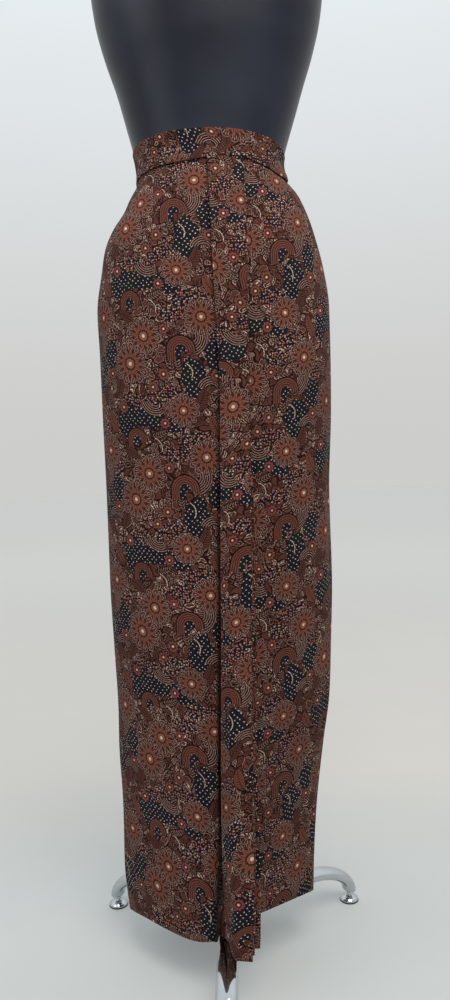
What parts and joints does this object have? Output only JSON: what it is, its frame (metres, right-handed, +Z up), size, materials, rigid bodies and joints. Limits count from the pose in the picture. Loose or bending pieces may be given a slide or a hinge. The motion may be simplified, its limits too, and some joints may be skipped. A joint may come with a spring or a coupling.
{
  "type": "pleated batik wrap skirt on a limbless dress form with a tripod stand",
  "caption": "Full-length batik wrap skirt with a waistband and a pleated front strip, worn on a limbless dress form that stands on a pole and a tripod base.",
  "frame": {"origin": "bottom centre of the object's bounding box, on the floor under the feet", "axes": "+Z up along the pole, -Y to the front where the pleated strip hangs, +X to the right as seen from the front"},
  "size_m": [0.4156, 0.3639, 1.6523],
  "materials": {
    "batik_cotton": "printed plain-weave cotton, matt with a faint sheen",
    "form_shell": "smooth satin charcoal shell",
    "chrome": "polished"
  },
  "bodies": {
    "root": {"waistband": "batik_cotton", "front_left_panel": "batik_cotton", "front_right_panel": "batik_cotton", "back_panel": "batik_cotton", "pleat_under": "batik_cotton", "pleat_middle": "batik_cotton", "pleat_top": "batik_cotton", "form_torso": "form_shell", "form_neck_cap": "form_shell", "form_base_plate": "form_shell", "pole_flange": "chrome", "pole": "chrome", "tripod_hub": "chrome", "leg_front": "chrome", "leg_right": "chrome", "leg_left": "chrome", "foot_front": "chrome", "foot_right": "chrome", "foot_left": "chrome"}
  },
  "joints": []
}
